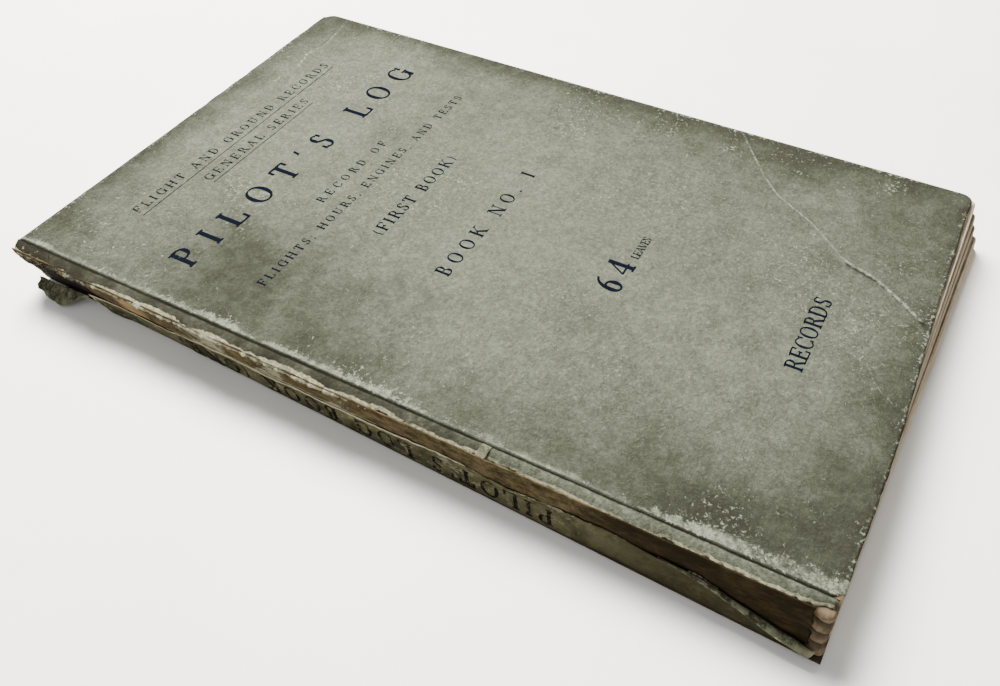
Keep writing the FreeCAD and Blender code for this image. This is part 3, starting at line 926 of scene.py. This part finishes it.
def folded_leaves(number, material):
    """A gathering of nested folded sheets.

    Each sheet is a U: flat, half a circle of its own radius round the fold, and flat
    again; its edges end a little short or long of its neighbours', its fore corners are
    rounded, and its fold swells out at the tail and head, beyond the lining.
    """
    name = f"gathering_{number}"
    low, high = (corner.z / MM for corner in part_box(name))
    radius = (high - low) / 2
    middle = (high + low) / 2
    fold = -SPINE + 1.40 + radius
    pitch = radius / LEAVES_DEEP
    draw = np.random.default_rng(200 + number)
    sheets = []
    tones = []
    folds = []
    flat_steps = np.linspace(1, 0, 15)[:-1] ** 1.3
    ends = np.array([0, 0.2, 0.5, 0.9, 1.4, 2.0, 2.8, 3.8])
    span = np.concatenate([ends, np.linspace(5, HEIGHT - 5, 36), HEIGHT - ends[::-1]]) / HEIGHT
    shift = (0.25, 0.1, -0.15, 0.05)[number - 1]
    for layer in range(LEAVES_DEEP):
        outer_radius = radius - layer * pitch
        inner_radius = outer_radius - 0.84 * pitch
        fore = WIDTH - 0.30 + draw.uniform(-0.30, 0.30) - 0.35 * (layer == 0) + shift
        tail = draw.uniform(-0.05, 0.35) + 0.25 * (layer == 0) - shift
        head = HEIGHT - draw.uniform(0.05, 0.45)
        corner = 1.4 + draw.uniform(-0.4, 0.5)
        grids = []
        along = tail + (head - tail) * span[None, :]
        over = np.maximum(np.abs(along - HEIGHT / 2) - (HEIGHT / 2 - corner), 0)
        rounded = corner - np.sqrt(np.maximum(corner ** 2 - np.minimum(over, corner) ** 2, 0))
        for r in (outer_radius, inner_radius):
            angle = np.linspace(-math.pi / 2, math.pi / 2, 13)
            flat = (fore - fold - rounded) * flat_steps[:, None]
            round_part = np.broadcast_to(-r * np.cos(angle)[:, None], (13, along.shape[1]))
            x = fold + np.concatenate([flat, round_part, flat[::-1]])
            z = np.concatenate([np.full(14, -r), r * np.sin(angle), np.full(14, r)])[:, None]
            beside = np.minimum(along - tail, head - along)
            swell = 1.05 * (1 - ease(beside, 1.8, 4.4)) - 0.55 * np.exp(-beside / 0.4)
            fold_wave = 0.16 * undulation(along, 0 * along + layer, 6, 210 + number)
            fold_wave = fold_wave + 0.30 * undulation(along, z, 0.9, 215 + number) * np.exp(-beside / 2.5)
            near = 1 - ease(x, fold - 0.5 * radius, fold + 2.5)
            z = z * (1 - 0.17 * near * (1 - ease(beside, 2.2, 5.0)))
            x_wave = 0.16 * undulation(along, z * 3, 30, 220 + number + layer)
            z_wave = 0.022 * undulation(x, along, 30, 230 + number)
            x = x + x_wave * ease(x, fold, fore) + (fold_wave - swell) * near
            height = middle + z + z_wave
            grids.append(place(x, along + 0 * x, height, middle + 0.3 * z))
        outer, inner = grids
        sheets.append((outer[:, ::-1], inner[:, ::-1]))
        tone = 0.24 * np.exp(-np.maximum(fore - x, 0) / 1.6)
        tone = np.maximum(tone, 0.30 * np.exp(-beside / 1.6) + 0 * x)
        tone = tone + (0.50 if layer == 0 else draw.uniform(-0.35, 0.05)) + 0.07 * number - 0.15
        tones.append(np.tile(tone[:, ::-1].ravel(), 2))
        folds.append(np.tile(np.exp(-np.maximum(x - fold - 0.5, 0) / 1.5)[:, ::-1].ravel(), 2))
    piece = joined_sheets(f"leaves_{number}", sheets, material)
    for key, values in (("tone", tones), ("fold", folds)):
        attribute = piece.data.attributes.new(key, "FLOAT", "POINT")
        attribute.data.foreach_set("value", np.concatenate(values).astype(np.float32))
    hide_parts(name)
    return piece


def free_leaf(name, node, material):
    """Free endpaper: a thin cockled leaf, lying flat at its layer."""
    low, high = (corner.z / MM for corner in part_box(node))
    level = (low + high) / 2
    share, step = unit_grid(60, 70)
    along = 0.5 + (HEIGHT - 0.9) * step + 0.12 * ragged(share * WIDTH, 12, 301)
    across = 0.40 + (WIDTH - 0.75) * share + 0.12 * ragged(along, 12, 303) * share
    height = level + 0.015 * undulation(across, along, 28, 305)
    outer = place(across, along, height + 0.04, level)
    inner = place(across, along, height - 0.04, level)
    border = np.minimum(np.minimum(along, HEIGHT - along), WIDTH - across)
    piece = sheet_piece(name, outer, inner, material, {"tone": 0.6 * np.exp(-border / 4)})
    start = place(0.45, HEIGHT / 2, level)
    end = place(26, HEIGHT / 2, level)
    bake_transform(piece)
    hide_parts(node)
    return piece


# ---- lettering ----

THICK = 0.185
THIN = 0.08
SERIF = 0.16


def bar(x0, y0, x1, y1, weight=THIN):
    """A stroke with level ends: its weight is measured across."""
    half = weight / 2
    return np.array([[(x0 - half, y0), (x1 - half, y1)], [(x0 + half, y0), (x1 + half, y1)]])


def rule(x0, x1, y, weight=THIN):
    """A level stroke."""
    half = weight / 2
    return np.array([[(x0, y - half), (x0, y + half)], [(x1, y - half), (x1, y + half)]])


def stem(x, low=0.0, high=1.0, weight=THICK):
    """An upright stroke with a serif at each end."""
    feet = [rule(x - SERIF, x + SERIF, y) for y in (low + THIN / 2, high - THIN / 2)]
    return [bar(x, low, x, high, weight)] + feet


def foot(x, y=0.0):
    """A serif alone."""
    level = y + THIN / 2 if y < 0.5 else y - THIN / 2
    return rule(x - SERIF, x + SERIF, level)


def bowl(x, y, wide, tall, start=0, end=360, weight=THICK):
    """Part of an ellipse, thick at its sides and thin at its top and foot."""
    angle = np.radians(np.linspace(start, end, max(6, int(abs(end - start) / 18))))
    swell = THIN + (weight - THIN) * np.abs(np.cos(angle)) ** 1.6
    rings = [(wide - swell, tall - THIN), (wide + 0 * swell, tall + 0 * swell)]
    return np.array([np.stack([x + a * np.cos(angle), y + b * np.sin(angle)], -1) for a, b in rings])


def tick(x, y0, y1):
    """The small upright at the end of an arm."""
    return bar(x, y0, x, y1, THIN * 1.4)


GLYPHS = {
    "A": (0.96, [bar(0.14, 0, 0.48, 1), bar(0.80, 0, 0.46, 1, THICK), rule(0.24, 0.70, 0.33),
                 foot(0.14), foot(0.80)]),
    "B": (0.80, stem(0.20) + [bowl(0.42, 0.745, 0.22, 0.255, -90, 90),
                              bowl(0.44, 0.255, 0.28, 0.255, -90, 90),
                              rule(0.2, 0.44, 0.98), rule(0.2, 0.44, 0.5), rule(0.2, 0.45, 0.02)]),
    "C": (0.88, [bowl(0.48, 0.5, 0.42, 0.51, 48, 312), tick(0.80, 0.68, 0.96), tick(0.80, 0.06, 0.26)]),
    "D": (0.96, stem(0.20) + [bowl(0.42, 0.5, 0.44, 0.5, -90, 90),
                              rule(0.2, 0.44, 0.98), rule(0.2, 0.44, 0.02)]),
    "E": (0.80, stem(0.20) + [rule(0.2, 0.70, 0.98), rule(0.2, 0.54, 0.5), rule(0.2, 0.74, 0.02),
                              tick(0.70, 0.76, 1), tick(0.54, 0.39, 0.61), tick(0.73, 0, 0.26)]),
    "F": (0.74, stem(0.20) + [rule(0.2, 0.70, 0.98), rule(0.2, 0.52, 0.5),
                              tick(0.70, 0.74, 1), tick(0.52, 0.38, 0.62)]),
    "G": (0.96, [bowl(0.48, 0.5, 0.42, 0.51, 48, 318), tick(0.80, 0.68, 0.96), foot(0.80, 0.45)]
          + [bar(0.80, 0.03, 0.80, 0.44, THICK)]),
    "H": (1.02, stem(0.20) + stem(0.80) + [rule(0.2, 0.8, 0.5)]),
    "I": (0.42, stem(0.20)),
    "K": (0.94, stem(0.20) + [bar(0.24, 0.36, 0.74, 1), bar(0.80, 0, 0.42, 0.60, THICK),
                              foot(0.80), foot(0.74, 1)]),
    "L": (0.76, stem(0.20) + [rule(0.2, 0.70, 0.02), tick(0.70, 0, 0.30)]),
    "M": (1.16, stem(0.18, weight=THIN) + stem(0.94)
          + [bar(0.54, 0.04, 0.22, 1, THICK), bar(0.54, 0.04, 0.90, 1)]),
    "N": (1.02, stem(0.20, weight=THIN) + stem(0.82, weight=THIN) + [bar(0.80, 0, 0.24, 1, THICK)]),
    "O": (0.98, [bowl(0.48, 0.5, 0.44, 0.51)]),
    "P": (0.76, stem(0.20) + [bowl(0.42, 0.73, 0.28, 0.27, -90, 90),
                              rule(0.2, 0.44, 0.98), rule(0.2, 0.44, 0.48)]),
    "R": (0.88, stem(0.20) + [bowl(0.42, 0.74, 0.27, 0.26, -90, 90),
                              rule(0.2, 0.44, 0.98), rule(0.2, 0.46, 0.5),
                              bar(0.80, 0, 0.50, 0.5, THICK), foot(0.82)]),
    "S": (0.68, [bowl(0.34, 0.745, 0.24, 0.265, 40, 250), bowl(0.34, 0.265, 0.27, 0.275, -140, 70),
                 bar(0.46, 0.42, 0.22, 0.60, THICK), tick(0.55, 0.74, 0.96), tick(0.10, 0.04, 0.28)]),
    "T": (0.84, stem(0.42) + [rule(0.08, 0.76, 0.98), tick(0.08, 0.74, 1), tick(0.76, 0.74, 1)]),
    "U": (0.98, [bar(0.22, 0.3, 0.22, 1, THICK), bar(0.76, 0.3, 0.76, 1), foot(0.22, 1), foot(0.76, 1),
                 bowl(0.46, 0.31, 0.32, 0.33, 180, 360, 0.10)]),
    "V": (0.92, [bar(0.44, 0, 0.16, 1, THICK), bar(0.46, 0, 0.76, 1), foot(0.16, 1), foot(0.76, 1)]),
    "1": (0.56, stem(0.28)),
    "4": (0.74, [bar(0.10, 0.28, 0.54, 1), rule(0.08, 0.68, 0.28), bar(0.52, 0, 0.52, 1, THICK), foot(0.52)]),
    "6": (0.72, [bowl(0.36, 0.31, 0.28, 0.32), bowl(0.66, 0.36, 0.58, 0.66, 100, 180, THICK)]),
    ",": (0.30, [bar(0.08, -0.16, 0.16, 0.10, 0.12)]),
    ".": (0.30, [bar(0.14, 0, 0.14, 0.13, 0.14)]),
    "'": (0.30, [bar(0.10, 0.72, 0.16, 1, 0.11)]),
    "(": (0.40, [bowl(0.52, 0.45, 0.40, 0.68, 130, 230, 0.10)]),
    ")": (0.40, [bowl(-0.12, 0.45, 0.40, 0.68, -50, 50, 0.10)]),
    " ": (0.50, []),
}


def set_line(words, left, right, base, cap):
    """Strokes of a line of capitals, spaced to fill the measure from left to right."""
    widths = [GLYPHS[letter][0] * cap for letter in words]
    spare = (right - left - sum(widths)) / max(len(words) - 1, 1)
    strokes = []
    start = left
    for letter, width in zip(words, widths):
        strokes += [stroke * cap + (start, base) for stroke in GLYPHS[letter][1]]
        start += width + spare
    return strokes


def printed_on_cover(name, strokes, material):
    """Ink on the front cover: each stroke is a thin closed sheet over the cover's relief."""
    sheets = []
    for stroke in strokes:
        stroke = finer(stroke)
        across, along = stroke[..., 0], stroke[..., 1]
        top = THICKNESS + cover_relief(across, along) + 0.035
        sheets.append((place(across, along, top, THICKNESS), place(across, along, top - 0.05, THICKNESS)))
    piece = joined_sheets(name, sheets, material, smooth=False)
    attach(piece, "front_cover")
    return piece


def finer(stroke, pieces=5):
    """A stroke with more points along it, so that it can follow a curved face."""
    columns = stroke.shape[1]
    if columns > 2:
        return stroke
    share = np.linspace(0, 1, pieces)[None, :, None]
    long_way = stroke[:, :1] + (stroke[:, 1:] - stroke[:, :1]) * share
    other = np.linspace(0, 1, pieces)[:, None, None]
    return long_way[:1] + (long_way[1:] - long_way[:1]) * other


def cover_lettering(fresh, faded):
    """The cover's printed lines, top to bottom, in plain words about logbooks."""
    head_lines = set_line("FLIGHT AND GROUND RECORDS", 22.9, 109.7, 195.9, 2.9)
    head_lines += [rule(22.9, 109.7, 194.3, 0.25)]
    head_lines += set_line("GENERAL SERIES", 43.3, 89.5, 188.7, 2.9)
    head_lines += [rule(43.3, 89.5, 187.3, 0.25)]
    printed_on_cover("series_lines", head_lines, faded)
    title = set_line("PILOT'S LOG", 12.6, 119.5, 168.8, 7.8)
    printed_on_cover("title_line", title, fresh)
    lines = set_line("RECORD OF", 50.3, 82.2, 155.0, 2.6)
    lines += set_line("FLIGHTS, HOURS, ENGINES, AND TESTS", 16.2, 113.8, 148.0, 2.6)
    lines += set_line("(FIRST BOOK)", 46.2, 85.6, 133.1, 3.6)
    lines += set_line("BOOK NO. 1", 41.0, 89.5, 109.7, 4.2)
    lines += set_line("64", 55.3, 67.6, 69.7, 7.2)
    lines += set_line("LEAVES", 69.8, 79.2, 70.4, 2.2)
    lines += set_line("RECORDS", 51.9, 78.6, 22.7, 4.3)
    printed_on_cover("cover_lines", lines, fresh)


def spine_lettering(material):
    """Title along the spine, from tail to head, with the tops of its letters downwards."""
    sheets = []
    for stroke in set_line("PILOT'S LOG BOOK (ONE)", 58, 164, 0, 5.2):
        stroke = finer(stroke)
        along = stroke[..., 0]
        height = 7.6 - 0.9 * ease(along, 110, 165) - stroke[..., 1]
        depth = 0.06 * undulation(along, height, 6, 96) + 0.045 * undulation(along, height, 1.5, 98)
        sheets.append((spine_grid(depth - 0.07, along, height), spine_grid(depth + 0.02, along, height)))
    piece = joined_sheets("spine_title", sheets, material, smooth=False)
    bend_over_spine(piece)


# ---- putting the book together ----

cover_paper = cover_finish()
strip_paper = strip_finish()
lining_paper = lining_finish()
olive_paper = spine_paper_finish()
lit_peeled_paper = peeled_finish()
book_paper = leaf_finish()
end_paper = plain_paper_finish("endpaper", (0.74, 0.68, 0.55), (0.60, 0.50, 0.36))
card = plain_paper_finish("cover_card", (0.120, 0.082, 0.045), BOARD_EDGE, 220)
# Brown paper at the foot of the back hinge, made darker as painted shade along the table.
brown_shaded_back_strip = plain_paper_finish("brown_shaded_back_strip", (0.070, 0.053, 0.034), (0.030, 0.023, 0.014), 300)
linen = woven_finish("linen_tape", (0.62, 0.56, 0.44), (0.36, 0.30, 0.20), 9000)
open_cloth = woven_finish("mull_weave", (0.55, 0.50, 0.40), (0.20, 0.16, 0.10), 5000)
twist_thread = woven_finish("linen_thread", (0.66, 0.60, 0.48), (0.42, 0.36, 0.26), 16000)
fresh_ink = ink_finish("blue_black_ink", 0.64)
faded_ink = ink_finish("faded_ink", 0.52)
spine_ink = ink_finish("browned_spine_ink", 0.50, BROWNED_INK)

for node, material in (
    ("back_cover_paper", cover_paper), ("back_cover_board", card), ("front_cover_board", card),
    ("front_pastedown", end_paper), ("back_pastedown", end_paper), ("back_hinge_strip", brown_shaded_back_strip),
    ("upper_sewing_threads", twist_thread), ("lower_sewing_threads", twist_thread),
):
    slots = frame["nodes"][node].data.materials
    slots.clear()
    slots.append(material)

skin = front_cover_skin(cover_paper)
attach(skin, "front_cover")
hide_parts("front_cover_paper")
cover_lettering(fresh_ink, faded_ink)

strip = front_hinge_paper(strip_paper)
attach(strip, "upper_block")
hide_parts("front_hinge_strip")

tab = peeled_tab(lit_peeled_paper)
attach(tab, "upper_block")

crease = groove_crease(strip_paper)
place(-0.7, HEIGHT / 2, THICKNESS, THICKNESS)
place(0.7, HEIGHT / 2, THICKNESS, THICKNESS)
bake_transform(crease)

lining = lining_piece(lining_paper)
bend_over_spine(lining)
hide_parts("lower_spine_lining", "upper_spine_lining")

label = spine_paper_piece(olive_paper)
bend_over_spine(label)
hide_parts("spine_paper")
spine_lettering(spine_ink)

scroll = rolled_edge(lit_peeled_paper)
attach(scroll, "lower_block")

fray = frayed_ends(lining_paper)
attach(fray, "upper_block")

flap = torn_flap(lit_peeled_paper)
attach(flap, "spine_flap")
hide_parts("torn_spine_flap")

for where, step in (("tail", -1), ("middle", 0), ("head", 1)):
    middle = HEIGHT / 2 + 73 * step
    tape = spine_weave(f"{where}_tape", f"{where}_sewing_tape", linen, 1.10, middle - 5, middle + 5)
mull = spine_weave("mull", "mull_cloth", open_cloth, 0.75, 5.0, HEIGHT - 5.0)

for number, body in ((1, "upper_block"), (2, "upper_centre_gathering"),
                     (3, "lower_centre_gathering"), (4, "lower_block")):
    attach(folded_leaves(number, book_paper), body)

free_leaf("front_free_leaf", "front_free_endpaper", end_paper)
free_leaf("back_free_leaf", "back_free_endpaper", end_paper)


# ---- table, light and camera ----

TABLE_REACH = 1.6
TABLE_DROP = 0.00002
LENS = 33.9
CAMERA_STAND = (-0.10336, 0.01379, 0.15991)
CAMERA_TURN = (43.465, 0.180, -61.193)
SKY = (1.0, 0.99, 0.965, 1)
SKY_STRENGTH = 0.40


def table_top():
    """A pale plain table, a large flat grid just under the book."""
    finish = Finish("pale_table", 0.55, 0.35)
    cloud = finish.between(finish.noise(9, 5, 0.6), 0.3, 0.75)
    colour = finish.mixed(cloud, (0.83, 0.82, 0.79), (0.78, 0.765, 0.73))
    finish.done(colour, finish.noise(300, 3, 0.5), 0.00005, 0.2)
    side = np.linspace(-TABLE_REACH, TABLE_REACH, 9)
    x, y = np.meshgrid(side, side, indexing="ij")
    points = np.stack([x, y, np.full_like(x, -TABLE_DROP)], -1)
    new_piece("table", points, grid_faces(9, 9), finish.material)


def soft_light(name, place_at, aim, size, watts, colour):
    """A square soft light that faces a point."""
    data = bpy.data.lights.new(name, "AREA")
    data.size = size
    data.energy = watts
    data.color = colour
    light = bpy.data.objects.new(name, data)
    light.location = place_at
    light.rotation_euler = (Vector(aim) - Vector(place_at)).to_track_quat("-Z", "Y").to_euler()
    bpy.context.scene.collection.objects.link(light)


def camera():
    """The camera stands over the table beside the spine, near the tail."""
    data = bpy.data.cameras.new("camera")
    data.sensor_width = 36
    data.lens = LENS
    data.clip_start = 0.01
    eye = bpy.data.objects.new("camera", data)
    corner = place(-1.85, 0, THICKNESS, THICKNESS)
    eye.location = Vector(corner) + Vector(CAMERA_STAND)
    eye.rotation_euler = Euler([math.radians(angle) for angle in CAMERA_TURN])
    bpy.context.scene.collection.objects.link(eye)
    bpy.context.scene.camera = eye


def daylight():
    """Even pale sky with one broad window behind the head of the book."""
    world = bpy.data.worlds.new("sky")
    world.use_nodes = True
    world.node_tree.nodes["Background"].inputs["Color"].default_value = SKY
    world.node_tree.nodes["Background"].inputs["Strength"].default_value = SKY_STRENGTH
    bpy.context.scene.world = world
    soft_light("window", (0.36, 0.42, 0.72), (0, 0, 0), 0.50, 62, (1.0, 0.985, 0.95))
    soft_light("room", (-0.7, -0.2, 0.8), (0, 0, 0), 0.9, 4, (0.98, 0.98, 1.0))


table_top()
daylight()
camera()
